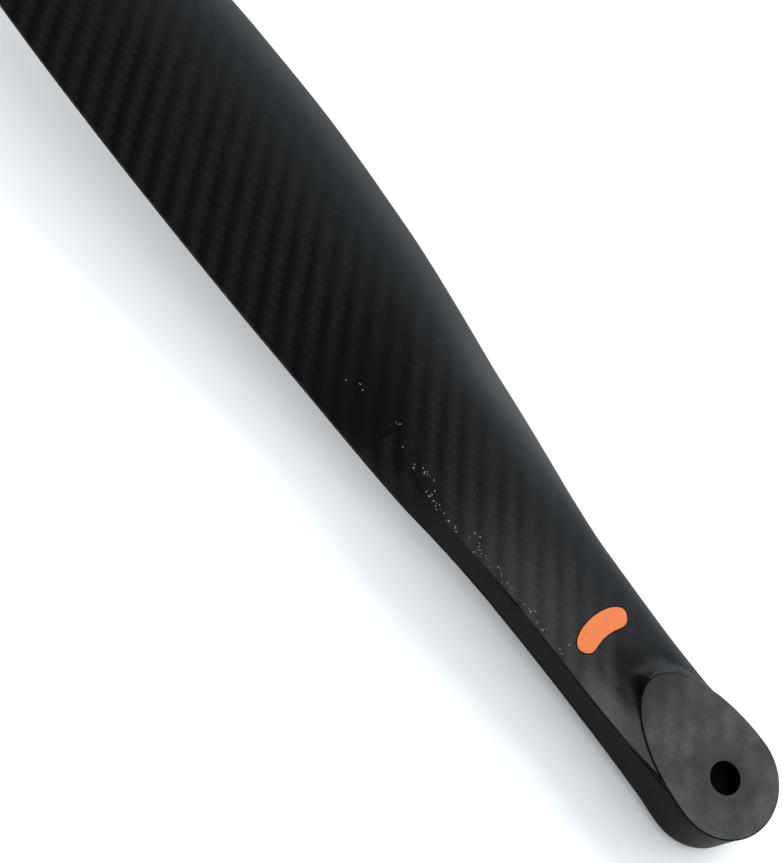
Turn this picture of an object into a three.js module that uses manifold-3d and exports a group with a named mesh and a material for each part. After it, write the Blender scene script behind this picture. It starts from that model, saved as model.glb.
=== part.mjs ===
// One blade of a large folding carbon-fibre propeller, in millimetres, +Z up.
//
// The origin is the centre of the pivot bore at the flat underside of the root.
// +X runs along the blade to the tip. The trailing edge is on +Y and the leading edge on -Y,
// so the blade turns clockwise seen from above.
// Two moulded skins close over a solid root block, a foam core, two spar caps, an edge filler
// and a solid tip. A machined seat stands proud of the neck around the bore.

import * as THREE from 'three';
import { mergeVertices } from 'three/addons/utils/BufferGeometryUtils.js';
import Module from 'manifold-3d';

const wasm = await Module();
wasm.setup();

// ---------- driving dimensions ----------

const ROOT_THICKNESS = 14;      // flat underside to seat
const ROOT_RADIUS = 14.5;       // round end of the root
const BORE_RADIUS = 4;          // pivot bolt bore
const SEAT_REACH = 29;          // bore centre to the outboard end of the tongue-shaped seat
const TIP_X = 358;              // bore centre to tip
const TIP_ROUND = 14;           // length of the rounded tip
const TIP_THICKNESS = 0.4;      // share of the section's thickness that is left at the very tip
const SKIN_ROOT = 0.8;          // skin thickness at the neck
const SKIN_TIP = 0.5;           // skin thickness at the tip
const GAP = 0.3;                // parting line between pieces that meet edge to edge
const BOND = 0.2;               // glue line between a skin and what it covers
const SKIN_START = 3;           // the skins start inside the seat's outline and are cut to it
const SKIN_END = TIP_X - 0.3;   // they stop where the rounded tip is still blunt
const BLOCK_START = 5;
const BLOCK_END = 108;          // the solid root block ends where the trailing edge gets thin
const FILLER_END = 330;
const FOAM_END = 330;
const TIP_BLOCK_END = 350;
const CAP_START = 34;
const CAP_END = 225;
const CAP_DEPTH = SKIN_ROOT + BOND;     // outer surface of the blade to the outer face of a spar cap
const CAP_THICKNESS = 0.6;
const CAP_HALF_WIDTH = 5;
const CAP_HALF_SHARE = 1 / 6;           // but never more than this share of the section's width
const CAP_AHEAD = 1 / 20;               // the cap's centre is this share ahead of the section's middle
const CHANNEL_OPENING = 0.24;           // how far a cap's channel is cut above it, to break the surface
const MARK_X = 45.8;            // the colour mark is an arc, hollow side towards the bore
const MARK_Y = 0.6;
const MARK_HALF_WIDTH = 5.2;
const MARK_BREADTH = 5.8;
const MARK_RADIUS = 14;
const MARK_THICKNESS = 0.15;
const MARK_LIFT = 0.05;

// ---------- blade shape: each row is [distance from the bore, value] ----------

const TRAILING_EDGE_Y = [[0, 14], [20, 13.9], [35, 14.1], [50, 14.5], [65, 15.2], [75, 16], [85, 17.1],
    [97, 18.7], [110, 19.8], [135, 21.4], [160, 23], [185, 24.2], [210, 25.1], [240, 25.6], [270, 25.4],
    [300, 24.6], [330, 22.8], [358, 19.6]];
const LEADING_EDGE_Y = [[0, -14], [20, -13.9], [35, -14], [60, -14.35], [72, -15], [83, -16.1], [106, -18.8],
    [128, -21.2], [150, -23.1], [180, -24], [210, -23.1], [240, -20.7], [270, -17], [300, -12.2],
    [330, -6.2], [358, 1]];
// Half the height of the neck, which slopes down from the seat and is then level.
const NECK = [[0, 6.8], [4, 6.7], [10, 6.2], [16, 5.85], [24, 5.45], [36, 5.1], [60, 5.1]];
const HALF_THICKNESS = [...NECK, [72, 4.9], [84, 4.5], [97, 4.15], [115, 3.75], [135, 3.4], [180, 2.9],
    [240, 2.3], [300, 1.75], [358, 1.25]];
// Heights of the two ends of the section's middle line.
const BACK_Z = [...NECK, [72, 4.95], [84, 4.6], [97, 4.2], [115, 3.2], [135, 2], [180, 1.2], [240, 1.5],
    [300, 2.4], [358, 3.7]];
const FRONT_Z = [...NECK, [72, 5.9], [84, 7], [97, 8.1], [110, 8.9], [140, 9.8], [180, 9.9],
    [210, 9.4], [240, 8.6], [300, 6.8], [358, 5]];
// The neck's upright side wall leans over outboard into the back slope of the aerofoil: the height of
// the middle of the trailing edge, half its thickness, and how far across the section the slope goes.
const EDGE_Z = [...NECK, [66, 4.3], [72, 2.6], [78, 1.3], [84, 0.8], [97, 0.7], [180, 0.9], [240, 1.4],
    [300, 2.4], [358, 3.7]];
const EDGE_HALF = [...NECK, [66, 4.2], [72, 2.5], [78, 1.1], [84, 0.6], [97, 0.5], [358, 0.42]];
const SLOPE_WIDTH = [[0, 0.01], [60, 0.01], [72, 0.03], [84, 0.045], [90, 0.06], [97, 0.1], [104, 0.16],
    [110, 0.24], [117, 0.35], [126, 0.49], [136, 0.62], [358, 0.62]];
const SLOPE_POWER = [[0, 1.1], [84, 1.1], [120, 2], [358, 2]];
const SLOPE_POWER_BELOW = 1.15;
const NOSE_SQUARENESS = [[0, 9], [60, 9], [115, 2], [358, 2]];
const NOSE_START = [[0, 0.5], [60, 0.5], [115, 0.62], [358, 0.62]];
const CAMBER = [[0, 0], [62, 0], [115, 0.028], [180, 0.032], [358, 0.03]];
const SLOPE_STEP = 0.001;       // share of the section over which the steepness past the slope is taken

// Smooth curve through the rows, level at the ends and never overshooting a row (monotone cubic).
function along(rows, x) {
    const last = rows.length - 1;
    if (x <= rows[0][0]) return rows[0][1];
    if (x >= rows[last][0]) return rows[last][1];
    let i = 0;
    while (x > rows[i + 1][0]) i += 1;
    const secant = (k) => (rows[k + 1][1] - rows[k][1]) / (rows[k + 1][0] - rows[k][0]);
    const slopeAt = (k) => {
        if (k === 0 || k === last) return 0;
        const before = secant(k - 1);
        const after = secant(k);
        return before * after <= 0 ? 0 : (2 * before * after) / (before + after);
    };
    const span = rows[i + 1][0] - rows[i][0];
    const t = (x - rows[i][0]) / span;
    const rise = rows[i + 1][1] - rows[i][1];
    const a = slopeAt(i) * span - rise;
    const b = -slopeAt(i + 1) * span + rise;
    return rows[i][1] + t * rise + t * (1 - t) * (a * (1 - t) + b * t);
}

// 1 along the blade, falling to 0 on an ellipse over the rounded tip.
function tipScale(x) {
    const into = Math.max(0, (x - (TIP_X - TIP_ROUND)) / TIP_ROUND);
    return Math.sqrt(Math.max(0, 1 - into * into));
}

function skinThickness(x) {
    return THREE.MathUtils.mapLinear(x, 0, TIP_X, SKIN_ROOT, SKIN_TIP);
}

// The aerofoil at x, shrunk by inset all round except at the open trailing edge.
function sectionAt(x, inset) {
    const tip = tipScale(x);
    const back = along(TRAILING_EDGE_Y, x);
    const front = along(LEADING_EDGE_Y, x);
    const middle = (back + front) / 2;
    const half = ((back - front) / 2) * tip;
    const least = GAP / 2;
    return {
        yBack: middle + half,
        yFront: middle - half + inset,
        zBack: along(BACK_Z, x),
        zFront: along(FRONT_Z, x),
        edgeZ: along(EDGE_Z, x),
        edgeHalf: Math.max(along(EDGE_HALF, x) - inset, least),
        half: Math.max(along(HALF_THICKNESS, x) * THREE.MathUtils.lerp(TIP_THICKNESS, 1, tip) - inset, least),
        squareness: along(NOSE_SQUARENESS, x),
        noseStart: along(NOSE_START, x),
        slopeWidth: along(SLOPE_WIDTH, x),
        slopePower: along(SLOPE_POWER, x),
        camber: along(CAMBER, x) * 2 * half,
        least,
    };
}

// A point on the section: v is 0 at the trailing edge and 1 at the nose, side is 1 above and -1 below.
function surfacePoint(x, v, side, inset) {
    const s = sectionAt(x, inset);
    const at = (place) => {
        const t = THREE.MathUtils.clamp((place - s.noseStart) / (1 - s.noseStart), 0, 1);
        const height = s.half * Math.pow(1 - Math.pow(t, s.squareness), 1 / s.squareness);
        const line = THREE.MathUtils.lerp(s.zBack, s.zFront, place) + s.camber * 4 * place * (1 - place);
        return line + side * Math.max(height, s.least);
    };
    let z = at(v);
    if (v < s.slopeWidth) {
        const power = side > 0 ? s.slopePower : SLOPE_POWER_BELOW;
        const t = v / s.slopeWidth;
        const rise = 1 - Math.pow(1 - t, power);
        z = THREE.MathUtils.lerp(s.edgeZ + side * s.edgeHalf, at(s.slopeWidth), rise);
        // The slope ends at the steepness of what follows, so that there is no crease.
        const steepness = (at(s.slopeWidth + SLOPE_STEP) - at(s.slopeWidth)) / SLOPE_STEP;
        z += steepness * s.slopeWidth * t * t * (t - 1);
    }
    return new THREE.Vector3(x, THREE.MathUtils.lerp(s.yBack, s.yFront, v), z);
}

// Places across the section, close together round the nose. Counted in columns from the trailing edge,
// the first columns cross the back slope, the next the flat, and the rest the nose.
const SLOPE_COLUMNS = 4;
const FLAT_COLUMNS = 2;
const NOSE_COLUMNS = 8;
const COLUMNS = SLOPE_COLUMNS + FLAT_COLUMNS + NOSE_COLUMNS;
const LEAST_FLAT = 0.06;        // share of the section kept between the slope's columns and the nose's
function placeAt(x, column) {
    const { slopeWidth, noseStart, squareness } = sectionAt(x, 0);
    const flatStart = Math.min(slopeWidth, noseStart - LEAST_FLAT);
    if (column <= SLOPE_COLUMNS) return (flatStart * column) / SLOPE_COLUMNS;
    const onFlat = (column - SLOPE_COLUMNS) / FLAT_COLUMNS;
    if (onFlat <= 1) return THREE.MathUtils.lerp(flatStart, noseStart, onFlat);
    const angle = ((column - SLOPE_COLUMNS - FLAT_COLUMNS) / NOSE_COLUMNS) * (Math.PI / 2);
    return noseStart + (1 - noseStart) * Math.pow(Math.sin(angle), 2 / squareness);
}

function placesAcross(x, first, last, count) {
    const places = [];
    for (let i = 0; i <= count; i += 1) places.push(placeAt(x, THREE.MathUtils.lerp(first, last, i / count)));
    return places;
}

// Distances along the blade, closer together where the shape changes faster: [start, end, number of steps].
const TIP_START = TIP_X - TIP_ROUND;
const ZONES = [[SKIN_START, 33, 6], [33, 60, 4], [60, 120, 10], [120, 180, 5], [180, 330, 8],
    [330, TIP_START, 2]];
const TIP_STEPS = 8;
const CLOSEST = 1.5;
function stations(from, to) {
    const all = [];
    ZONES.forEach(([start, end, steps]) => {
        for (let i = 0; i < steps; i += 1) all.push(THREE.MathUtils.lerp(start, end, i / steps));
    });
    for (let i = 0; i < TIP_STEPS; i += 1) {
        all.push(TIP_START + TIP_ROUND * Math.sin((i / TIP_STEPS) * (Math.PI / 2)));
    }
    return [from, ...all.filter((x) => x > from + CLOSEST && x < to - CLOSEST), to];
}

// ---------- solids ----------

// A closed body from two grids of points with the same rows and columns, one above the other.
function slab(upper, lower) {
    const rows = upper.length;
    const columns = upper[0].length;
    const positions = [];
    const index = [];
    upper.flat().concat(lower.flat()).forEach((p) => positions.push(p.x, p.y, p.z));
    const top = (i, j) => i * columns + j;
    const bottom = (i, j) => rows * columns + i * columns + j;
    const quad = (a, b, c, d) => index.push(a, b, c, a, c, d);
    for (let i = 0; i < rows - 1; i += 1) {
        for (let j = 0; j < columns - 1; j += 1) {
            quad(top(i, j), top(i, j + 1), top(i + 1, j + 1), top(i + 1, j));
            quad(bottom(i, j), bottom(i + 1, j), bottom(i + 1, j + 1), bottom(i, j + 1));
        }
        quad(top(i, 0), top(i + 1, 0), bottom(i + 1, 0), bottom(i, 0));
        const end = columns - 1;
        quad(top(i + 1, end), top(i, end), bottom(i, end), bottom(i + 1, end));
    }
    for (let j = 0; j < columns - 1; j += 1) {
        const end = rows - 1;
        quad(top(0, j + 1), top(0, j), bottom(0, j), bottom(0, j + 1));
        quad(top(end, j), top(end, j + 1), bottom(end, j + 1), bottom(end, j));
    }
    const geometry = new THREE.BufferGeometry();
    geometry.setAttribute('position', new THREE.Float32BufferAttribute(positions, 3));
    geometry.setIndex(index);
    return facingOut(geometry);
}

// Turns every triangle over if the body's signed volume is negative.
function facingOut(geometry) {
    const p = geometry.getAttribute('position');
    const index = geometry.getIndex();
    const [a, b, c] = [new THREE.Vector3(), new THREE.Vector3(), new THREE.Vector3()];
    let volume = 0;
    for (let i = 0; i < index.count; i += 3) {
        a.fromBufferAttribute(p, index.getX(i));
        b.fromBufferAttribute(p, index.getX(i + 1));
        c.fromBufferAttribute(p, index.getX(i + 2));
        volume += a.dot(b.cross(c));
    }
    if (volume < 0) {
        for (let i = 0; i < index.count; i += 3) {
            const second = index.getX(i + 1);
            index.setX(i + 1, index.getX(i + 2));
            index.setX(i + 2, second);
        }
    }
    return geometry;
}

function toManifold(geometry) {
    const bare = geometry.clone();
    bare.deleteAttribute('normal');
    bare.deleteAttribute('uv');
    const merged = mergeVertices(bare, 1e-4);
    return new wasm.Manifold(new wasm.Mesh({
        numProp: 3,
        vertProperties: new Float32Array(merged.getAttribute('position').array),
        triVerts: new Uint32Array(merged.getIndex().array),
    }));
}

function toGeometry(solid) {
    const mesh = solid.getMesh();
    const geometry = new THREE.BufferGeometry();
    geometry.setAttribute('position', new THREE.BufferAttribute(new Float32Array(mesh.vertProperties), 3));
    geometry.setIndex(new THREE.BufferAttribute(new Uint32Array(mesh.triVerts), 1));
    return geometry;
}

function cut(geometry, ...tools) {
    const solid = tools.reduce((body, tool) => body.subtract(toManifold(tool)), toManifold(geometry));
    return toGeometry(solid);
}

function join(...geometries) {
    const [first, ...rest] = geometries.map(toManifold);
    return toGeometry(rest.reduce((body, other) => body.add(other), first));
}

const CURVE_SEGMENTS = 24;

// The seat's outline in plan, a half circle inboard and half an ellipse outboard, as an upright prism.
function seatPrism(margin, zLow, zHigh) {
    const shape = new THREE.Shape();
    const radius = ROOT_RADIUS + margin;
    shape.absellipse(0, 0, radius, radius, Math.PI / 2, (3 * Math.PI) / 2, false, 0);
    shape.absellipse(0, 0, SEAT_REACH + margin, radius, -Math.PI / 2, Math.PI / 2, false, 0);
    const options = { depth: zHigh - zLow, bevelEnabled: false, curveSegments: CURVE_SEGMENTS };
    const prism = new THREE.ExtrudeGeometry(shape, options);
    prism.translate(0, 0, zLow);
    return prism;
}

function boreTool() {
    const tool = new THREE.CylinderGeometry(BORE_RADIUS, BORE_RADIUS, 2 * ROOT_THICKNESS, 2 * CURVE_SEGMENTS);
    tool.rotateX(Math.PI / 2);
    tool.translate(0, 0, ROOT_THICKNESS / 2);
    return tool;
}

// The outer surface on one side, thickened inwards by the skin's thickness.
function skinBand(side, from, to) {
    const rows = stations(from, to);
    const grid = (depth) => rows.map((x) => placesAcross(x, 0, COLUMNS, COLUMNS).map(
        (v) => surfacePoint(x, v, side, depth * skinThickness(x)),
    ));
    return slab(grid(0), grid(1));
}

function skin(side) {
    const notch = seatPrism(GAP, -ROOT_THICKNESS, 2 * ROOT_THICKNESS);
    return cut(skinBand(side, SKIN_START, SKIN_END), notch);
}

// A solid that fills the space between the skins from one column of the section to another.
function coreBand(from, to, first, last, count) {
    const rows = stations(from, to);
    const grid = (side) => rows.map((x) => placesAcross(x, first, last, count).map(
        (v) => surfacePoint(x, v, side, skinThickness(x) + BOND),
    ));
    return slab(grid(1), grid(-1));
}

// A strip under one skin, grown by margin at its sides, its ends and below, and by opening above.
const CAP_COLUMNS = 4;
function capBand(side, margin, opening) {
    const rows = stations(CAP_START - margin, CAP_END + margin);
    const grid = (depth) => rows.map((x) => {
        const { yBack, yFront } = sectionAt(x, 0);
        const width = yBack - yFront;
        const halfWidth = Math.min(CAP_HALF_WIDTH, width * CAP_HALF_SHARE) + margin;
        const centre = (yBack + yFront) / 2 - width * CAP_AHEAD;
        const points = [];
        for (let j = 0; j <= CAP_COLUMNS; j += 1) {
            const y = centre + halfWidth * (1 - (2 * j) / CAP_COLUMNS);
            points.push(surfacePoint(x, (yBack - y) / width, side, depth));
        }
        return points;
    });
    return slab(grid(CAP_DEPTH - opening), grid(CAP_DEPTH + CAP_THICKNESS + margin));
}

function capChannel(side) {
    return capBand(side, GAP, CHANNEL_OPENING);
}

// Columns of the section that each inner piece takes up.
const CORE_LAST = COLUMNS - 1;
const FOAM_FIRST = 1;
const FOAM_LAST = 10;
const FILLER_FIRST = 10.5;

function rootBlock() {
    const core = coreBand(BLOCK_START, BLOCK_END, 0, CORE_LAST, CORE_LAST);
    const body = join(core, seatPrism(0, 0, ROOT_THICKNESS));
    return cut(body, boreTool(), capChannel(1), capChannel(-1));
}

function foamCore() {
    const core = coreBand(BLOCK_END + GAP, FOAM_END, FOAM_FIRST, FOAM_LAST, FOAM_LAST - FOAM_FIRST);
    return cut(core, capChannel(1), capChannel(-1));
}

const FILLER_STEPS = 5;
function edgeFiller() {
    return coreBand(BLOCK_END + GAP, FILLER_END, FILLER_FIRST, CORE_LAST, FILLER_STEPS);
}

function tipBlock() {
    return coreBand(FOAM_END + GAP, TIP_BLOCK_END, FOAM_FIRST, CORE_LAST, CORE_LAST - FOAM_FIRST);
}

// An arc-shaped patch with round ends.
const MARK_SEGMENTS = 8;
function colourMark() {
    const shape = new THREE.Shape();
    const centreX = MARK_X - MARK_RADIUS;
    const sweep = MARK_HALF_WIDTH / MARK_RADIUS;
    const inner = MARK_RADIUS - MARK_BREADTH / 2;
    const outer = MARK_RADIUS + MARK_BREADTH / 2;
    const end = MARK_BREADTH / 2;
    const endAt = (angle) => [centreX + MARK_RADIUS * Math.cos(angle), MARK_RADIUS * Math.sin(angle)];
    shape.absarc(centreX, 0, outer, -sweep, sweep, false);
    shape.absarc(...endAt(sweep), end, sweep, sweep + Math.PI, false);
    shape.absarc(centreX, 0, inner, sweep, -sweep, true);
    shape.absarc(...endAt(-sweep), end, -sweep + Math.PI, -sweep + 2 * Math.PI, false);
    const options = { depth: MARK_THICKNESS, bevelEnabled: false, curveSegments: MARK_SEGMENTS };
    return new THREE.ExtrudeGeometry(shape, options);
}

// ---------- materials ----------

const finishes = {
    carbonSkin: new THREE.MeshStandardMaterial({ color: 0x14181a, roughness: 0.35, metalness: 0.1 }),
    laminate: new THREE.MeshStandardMaterial({ color: 0x1c1d1e, roughness: 0.6, metalness: 0 }),
    foam: new THREE.MeshStandardMaterial({ color: 0xe3dfd2, roughness: 0.9, metalness: 0 }),
    spar: new THREE.MeshStandardMaterial({ color: 0x101112, roughness: 0.5, metalness: 0.1 }),
    mark: new THREE.MeshStandardMaterial({ color: 0xf38c54, roughness: 0.5, metalness: 0 }),
};

const blade = new THREE.Group();
function addPiece(name, geometry, material) {
    const mesh = new THREE.Mesh(geometry, material);
    mesh.name = name;
    blade.add(mesh);
    return mesh;
}

addPiece('root_block', rootBlock(), finishes.laminate);
addPiece('upper_skin', skin(1), finishes.carbonSkin);
addPiece('lower_skin', skin(-1), finishes.carbonSkin);
addPiece('upper_spar_cap', capBand(1, 0, 0), finishes.spar);
addPiece('lower_spar_cap', capBand(-1, 0, 0), finishes.spar);
addPiece('foam_core', foamCore(), finishes.foam);
addPiece('leading_edge_filler', edgeFiller(), finishes.laminate);
addPiece('tip_block', tipBlock(), finishes.laminate);
const mark = addPiece('colour_mark', colourMark(), finishes.mark);
const neckTop = surfacePoint(MARK_X, 0.5, 1, 0).z;
mark.position.set(0, MARK_Y, neckTop + MARK_LIFT);

export default blade;
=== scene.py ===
"""Looks for the folding carbon-fibre propeller blade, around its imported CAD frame.

The frame's axes: +X along the blade to the tip, +Y towards the trailing edge, +Z up out of the seat,
with the origin at the foot of the pivot bore. Shapes here are worked out in millimetres and
turned into metres when a mesh is made.
"""

import math
import random

import bpy
from mathutils import Matrix, Vector


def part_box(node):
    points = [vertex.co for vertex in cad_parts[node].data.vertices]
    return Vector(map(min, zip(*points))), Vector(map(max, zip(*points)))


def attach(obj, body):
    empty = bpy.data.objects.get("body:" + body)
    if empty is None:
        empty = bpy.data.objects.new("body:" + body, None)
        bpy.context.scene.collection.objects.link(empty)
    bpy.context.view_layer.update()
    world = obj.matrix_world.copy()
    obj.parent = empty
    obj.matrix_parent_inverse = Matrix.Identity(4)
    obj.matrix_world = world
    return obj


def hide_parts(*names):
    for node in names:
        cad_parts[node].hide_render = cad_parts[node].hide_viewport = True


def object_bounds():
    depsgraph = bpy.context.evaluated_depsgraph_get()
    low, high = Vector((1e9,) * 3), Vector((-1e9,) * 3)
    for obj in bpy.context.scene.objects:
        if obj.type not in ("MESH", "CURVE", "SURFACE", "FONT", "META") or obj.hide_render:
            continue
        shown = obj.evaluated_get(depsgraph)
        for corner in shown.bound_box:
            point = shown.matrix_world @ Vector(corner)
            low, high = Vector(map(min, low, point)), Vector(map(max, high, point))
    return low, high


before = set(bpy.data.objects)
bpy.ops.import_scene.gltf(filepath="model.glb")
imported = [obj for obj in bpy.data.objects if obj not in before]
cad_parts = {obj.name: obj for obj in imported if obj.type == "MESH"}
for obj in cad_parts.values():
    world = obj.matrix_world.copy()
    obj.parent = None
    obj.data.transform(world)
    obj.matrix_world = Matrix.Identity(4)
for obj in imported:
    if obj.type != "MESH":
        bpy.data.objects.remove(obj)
cad_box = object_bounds()
MM = 0.001


# ---------- sizes that the frame gives ----------

def size_mm(node):
    low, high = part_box(node)
    return low / MM, high / MM


SKIN_END = 0.3              # the skins stop this far short of the tip's outermost point
ROOT_LOW, ROOT_HIGH = size_mm("root_block")
MARK_LOW, MARK_HIGH = size_mm("colour_mark")
ROOT_THICKNESS = ROOT_HIGH.z
ROOT_RADIUS = -ROOT_LOW.x
BLOCK_END = ROOT_HIGH.x
TIP_X = size_mm("upper_skin")[1].x + SKIN_END

# ---------- sizes that the frame doesn't give, in millimetres ----------

BORE_RADIUS = 4
SEAT_REACH = 29             # from the bore's axis to the seat's outboard end
TIP_ROUND = 14              # length of the rounded tip
TIP_THICKNESS = 0.4         # share of the thickness that is left where the tip ends
SKIN_ROOT = 0.8             # the skins' thickness at the root
SKIN_TIP = 0.5              # and at the tip
LEAST_SKIN = 0.2
PARTING = 0.15              # half the parting line between the skins
BOND = 0.2                  # gap between the core and the skins
SKIN_START = 3
SKIN_NEAREST = 4.6          # the skins end this far from the bore's axis,
SKIN_CLEAR = 5.2            # and keep their shape from here on
BLOCK_START = 5
EDGE_ROUND = 0.25           # broken edge of the seat
UNDER_EYE = 0.4             # how far the lower skin lies above the eye's underside, inside its outline
UNDER_EYE_STEP = -0.5       # distance from the outline where it has risen that much, negative inside

# The hollow fillet outside the seat: its reach beside the seat and at the outboard end.
FILLET_REACH_SIDE = 2.2
FILLET_REACH = 6.5
FILLET_WIDENS = (6, 26)     # x where the reach goes from the first to the second
FILLET_LEADING_SHARE = 0.5  # it is shorter towards the leading edge,
FILLET_LEADING = (-9, 3)    # between these y
FILLET_DROP = 0.12          # it meets the seat this far below its face
FILLET_HOLLOWNESS = 2.6

# Painted shade: the cloth is painted dark in the hollow round the seat, in the same terms, with a spot
# outboard of the seat.
PAINTED_SHADE_REACH_SIDE = 1
PAINTED_SHADE_REACH = 9
PAINTED_SHADE_WIDENS = (23, 32)
PAINTED_SHADE_TRAILING_SHARE = 0.3
PAINTED_SHADE_TRAILING = (0, 6)
PAINTED_SHADE_SPOT = Vector((34, -0.5))
PAINTED_SHADE_SPOT_LENGTH = 9
PAINTED_SHADE_SPOT_WIDTH = 7

# The blade's shape, as the CAD has it apart from a narrower slope between x = 84 and 110.
# Each row is (distance from the bore's axis, value).
TRAILING_EDGE_Y = ((0, 14), (20, 13.9), (35, 14.1), (50, 14.5), (65, 15.2), (75, 16), (85, 17.1),
                   (97, 18.7), (110, 19.8), (135, 21.4), (160, 23), (185, 24.2), (210, 25.1),
                   (240, 25.6), (270, 25.4), (300, 24.6), (330, 22.8), (358, 19.6))
LEADING_EDGE_Y = ((0, -14), (20, -13.9), (35, -14), (60, -14.35), (72, -15), (83, -16.1), (106, -18.8),
                  (128, -21.2), (150, -23.1), (180, -24), (210, -23.1), (240, -20.7), (270, -17),
                  (300, -12.2), (330, -6.2), (358, 1))
NECK = ((0, 6.8), (4, 6.7), (10, 6.2), (16, 5.85), (24, 5.45), (36, 5.1), (60, 5.1))
HALF_THICKNESS = NECK + ((72, 4.9), (84, 4.5), (97, 4.15), (115, 3.75), (135, 3.4), (180, 2.9),
                         (240, 2.3), (300, 1.75), (358, 1.25))
BACK_Z = NECK + ((72, 4.95), (84, 4.6), (97, 4.2), (115, 3.2), (135, 2), (180, 1.2), (240, 1.5),
                 (300, 2.4), (358, 3.7))
FRONT_Z = NECK + ((72, 5.9), (84, 7), (97, 8.1), (110, 8.9), (140, 9.8), (180, 9.9), (210, 9.4),
                  (240, 8.6), (300, 6.8), (358, 5))
EDGE_Z = NECK + ((66, 4.3), (72, 2.6), (78, 1.3), (84, 0.8), (97, 0.7), (180, 0.9), (240, 1.4),
                 (300, 2.4), (358, 3.7))
EDGE_HALF = NECK + ((66, 4.2), (72, 2.5), (78, 1.1), (84, 0.6), (97, 0.5), (358, 0.42))
SLOPE_WIDTH = ((0, 0.01), (60, 0.01), (84, 0.016), (92, 0.035), (98, 0.07), (104, 0.13), (110, 0.22),
               (117, 0.34), (126, 0.49), (136, 0.62), (358, 0.62))
SLOPE_POWER = ((0, 1.1), (84, 1.1), (120, 2), (358, 2))
SLOPE_POWER_BELOW = 1.15
SLOPE_STEP = 0.001          # the step over which the slope's end is measured, in shares of the chord
LEAST_FLAT = 0.06           # least share of the chord between the slope and the nose
NOSE_SQUARENESS = ((0, 9), (60, 9), (115, 2), (358, 2))
NOSE_START = ((0, 0.5), (60, 0.5), (115, 0.62), (358, 0.62))
CAMBER = ((0, 0), (62, 0), (115, 0.028), (180, 0.032), (358, 0.03))


def lerp(a, b, t):
    return a + (b - a) * t


def smooth(low, high, value):
    t = min(1, max(0, (value - low) / (high - low)))
    return t * t * (3 - 2 * t)


def along(rows, x):
    """Smooth curve through the rows, level at the ends and never overshooting a row."""
    last = len(rows) - 1
    if x <= rows[0][0]:
        return rows[0][1]
    if x >= rows[last][0]:
        return rows[last][1]
    i = 0
    while x > rows[i + 1][0]:
        i += 1

    def secant(k):
        return (rows[k + 1][1] - rows[k][1]) / (rows[k + 1][0] - rows[k][0])

    def slope_at(k):
        if k in (0, last):
            return 0
        before, after = secant(k - 1), secant(k)
        return 0 if before * after <= 0 else 2 * before * after / (before + after)

    span = rows[i + 1][0] - rows[i][0]
    t = (x - rows[i][0]) / span
    rise = rows[i + 1][1] - rows[i][1]
    a = slope_at(i) * span - rise
    b = rise - slope_at(i + 1) * span
    return rows[i][1] + t * rise + t * (1 - t) * (a * (1 - t) + b * t)


def tip_scale(x):
    into = max(0, (x - (TIP_X - TIP_ROUND)) / TIP_ROUND)
    return math.sqrt(max(0, 1 - into * into))


def skin_thickness(x):
    return lerp(SKIN_ROOT, SKIN_TIP, x / TIP_X)


class Section:
    """The aerofoil at x, shrunk by inset all round except at the open trailing edge."""

    def __init__(self, x, inset=0.0):
        tip = tip_scale(x)
        back = along(TRAILING_EDGE_Y, x)
        front = along(LEADING_EDGE_Y, x)
        half_chord = (back - front) / 2 * tip
        self.x = x
        self.y_back = (back + front) / 2 + half_chord
        self.y_front = (back + front) / 2 - half_chord + inset
        self.z_back = along(BACK_Z, x)
        self.z_front = along(FRONT_Z, x)
        self.edge_z = along(EDGE_Z, x)
        self.edge_half = max(along(EDGE_HALF, x) - inset, PARTING)
        self.half = max(along(HALF_THICKNESS, x) * lerp(TIP_THICKNESS, 1, tip) - inset, PARTING)
        self.squareness = along(NOSE_SQUARENESS, x)
        self.nose_start = along(NOSE_START, x)
        self.slope_width = along(SLOPE_WIDTH, x)
        self.slope_power = along(SLOPE_POWER, x)
        self.camber = along(CAMBER, x) * 2 * half_chord

    def height(self, v, side):
        t = min(1, max(0, (v - self.nose_start) / (1 - self.nose_start)))
        half = self.half * (1 - t ** self.squareness) ** (1 / self.squareness)
        line = lerp(self.z_back, self.z_front, v) + self.camber * 4 * v * (1 - v)
        return line + side * max(half, PARTING)

    def blend_drop(self, side):
        """What the slope needs so that it meets the rest of the section without a crease."""
        beyond = self.height(self.slope_width + SLOPE_STEP, side)
        return (beyond - self.height(self.slope_width, side)) / SLOPE_STEP * self.slope_width

    def point(self, v, side):
        z = self.height(v, side)
        if v < self.slope_width:
            power = self.slope_power if side > 0 else SLOPE_POWER_BELOW
            t = v / self.slope_width
            rise = 1 - (1 - t) ** power
            z = lerp(self.edge_z + side * self.edge_half, self.height(self.slope_width, side), rise)
            z += self.blend_drop(side) * t * t * (t - 1)
        return Vector((self.x, lerp(self.y_back, self.y_front, v), z))


# ---------- the seat and the fillet round it ----------

def seat_radius(angle):
    """Distance from the bore's axis to the seat's outline, round inboard and a half ellipse outboard."""
    reach = SEAT_REACH if math.cos(angle) > 0 else ROOT_RADIUS
    return reach * ROOT_RADIUS / math.hypot(ROOT_RADIUS * math.cos(angle), reach * math.sin(angle))


def beyond_seat(x, y):
    """Distance outside the seat's outline, negative inside."""
    reach = SEAT_REACH if x > 0 else ROOT_RADIUS
    rho = math.hypot(x / reach, y / ROOT_RADIUS)
    steepness = math.hypot(x / reach ** 2, y / ROOT_RADIUS ** 2) / rho
    return (rho - 1) / steepness


def fillet_share(x, y):
    """0 outside the hollow fillet, 1 where it meets the seat."""
    reach = lerp(FILLET_REACH_SIDE, FILLET_REACH, smooth(*FILLET_WIDENS, x))
    reach *= lerp(FILLET_LEADING_SHARE, 1, smooth(*FILLET_LEADING, y))
    return min(1, max(0, 1 - beyond_seat(x, y) / reach))


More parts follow.
